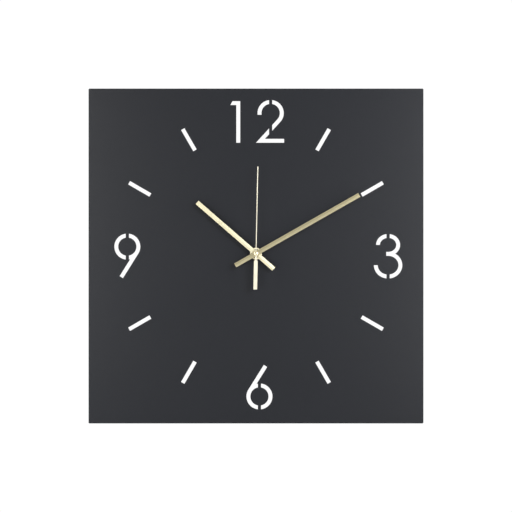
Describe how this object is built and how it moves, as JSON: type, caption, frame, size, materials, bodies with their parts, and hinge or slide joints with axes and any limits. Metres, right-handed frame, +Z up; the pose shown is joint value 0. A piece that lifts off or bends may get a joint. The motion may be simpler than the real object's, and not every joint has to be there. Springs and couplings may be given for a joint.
{
  "type": "wall clock",
  "caption": "Square battery wall clock: sheet-metal dial with stencil-cut numerals and bars, baton hands, quartz movement and keyhole hanger behind.",
  "frame": {"origin": "where the nail that carries the clock meets the wall: the centre of the keyhole's slot end, on the plane of the bumpers' feet", "axes": "+X to the right as seen from the front, +Y into the wall (the dial faces -Y), +Z up; the hand shaft runs along Y, 46 mm below the origin"},
  "size_m": [0.35, 0.0323, 0.35],
  "materials": {
    "powder_coat": "fine matte powder coat",
    "satin_brass": "satin",
    "brass": "turned",
    "zinc_steel": "zinc plated",
    "bare_steel": "plain",
    "dark_magnet": "sintered",
    "copper_wire": "enamelled copper wire",
    "black_plastic": "moulded",
    "white_plastic": "moulded",
    "black_rubber": "soft",
    "green_board": "solder resist",
    "cell_jacket": "shrink sleeve"
  },
  "bodies": {
    "clock": {"dial_plate": "powder_coat", "wall_bumper_top_left": "black_rubber", "wall_bumper_top_right": "black_rubber", "wall_bumper_bottom_left": "black_rubber", "wall_bumper_bottom_right": "black_rubber", "wall_hanger": "zinc_steel", "movement_front_case": "black_plastic", "movement_rear_case": "black_plastic", "movement_middle_plate": "white_plastic", "threaded_bush": "black_plastic", "rubber_washer": "black_rubber", "dial_washer": "black_plastic", "bush_nut": "black_plastic", "motor_stator": "bare_steel", "coil_core": "bare_steel", "coil_bobbin": "white_plastic", "coil_winding": "copper_wire", "circuit_board": "green_board", "circuit_chip": "black_plastic", "quartz_crystal": "bare_steel", "battery_contact_plus": "bare_steel", "battery_contact_minus": "bare_steel"},
    "hour_hand": {"hour_hand_blade": "satin_brass", "hour_hand_collet": "brass", "hour_wheel": "white_plastic"},
    "minute_hand": {"minute_hand_blade": "satin_brass", "minute_hand_collet": "brass", "cannon_pinion": "brass"},
    "second_hand": {"second_hand_blade": "satin_brass", "second_hand_cap": "brass", "seconds_wheel": "white_plastic"},
    "minute_wheel": {"minute_wheel": "white_plastic"},
    "setting_knob": {"setting_knob": "white_plastic"},
    "third_wheel": {"third_wheel": "white_plastic"},
    "centre_wheel": {"centre_wheel": "brass"},
    "step_wheel": {"step_wheel": "white_plastic"},
    "motor_rotor": {"motor_rotor": "dark_magnet"},
    "battery": {"battery_cell": "cell_jacket"}
  },
  "joints": [
    {"name": "minute_hand_spin", "type": "hinge", "parent": "clock", "child": "minute_hand", "pos_m": [0, 0, -0.046], "axis": [0, 1, 0], "continuous": true},
    {"name": "hour_hand_spin", "type": "hinge", "parent": "clock", "child": "hour_hand", "pos_m": [0, 0, -0.046], "axis": [0, 1, 0], "continuous": true},
    {"name": "minute_wheel_spin", "type": "hinge", "parent": "clock", "child": "minute_wheel", "pos_m": [-0.00799, 0, -0.046], "axis": [0, 1, 0], "continuous": true},
    {"name": "setting_knob_spin", "type": "hinge", "parent": "clock", "child": "setting_knob", "pos_m": [-0.01613, 0, -0.04896], "axis": [0, 1, 0], "continuous": true},
    {"name": "second_hand_spin", "type": "hinge", "parent": "clock", "child": "second_hand", "pos_m": [0, 0, -0.046], "axis": [0, 1, 0], "continuous": true},
    {"name": "third_wheel_spin", "type": "hinge", "parent": "clock", "child": "third_wheel", "pos_m": [-0.00736, 0, -0.04175], "axis": [0, 1, 0], "continuous": true},
    {"name": "centre_wheel_spin", "type": "hinge", "parent": "clock", "child": "centre_wheel", "pos_m": [0, 0, -0.046], "axis": [0, 1, 0], "continuous": true},
    {"name": "step_wheel_spin", "type": "hinge", "parent": "clock", "child": "step_wheel", "pos_m": [0.00846, 0, -0.04292], "axis": [0, 1, 0], "continuous": true},
    {"name": "motor_rotor_spin", "type": "hinge", "parent": "clock", "child": "motor_rotor", "pos_m": [0.0144, 0, -0.03698], "axis": [0, 1, 0], "continuous": true},
    {"name": "battery_slide", "type": "slide", "parent": "clock", "child": "battery", "axis": [0, 1, 0], "range_m": [0, 0.016]}
  ],
  "couplings": [
    {"joint": "hour_hand_spin", "follows": "minute_hand_spin", "ratio": 0.083333},
    {"joint": "minute_wheel_spin", "follows": "minute_hand_spin", "ratio": -0.33333},
    {"joint": "setting_knob_spin", "follows": "minute_hand_spin", "ratio": 0.75},
    {"joint": "third_wheel_spin", "follows": "second_hand_spin", "ratio": -0.13333},
    {"joint": "centre_wheel_spin", "follows": "second_hand_spin", "ratio": 0.016667},
    {"joint": "step_wheel_spin", "follows": "second_hand_spin", "ratio": -5},
    {"joint": "motor_rotor_spin", "follows": "second_hand_spin", "ratio": 30}
  ]
}
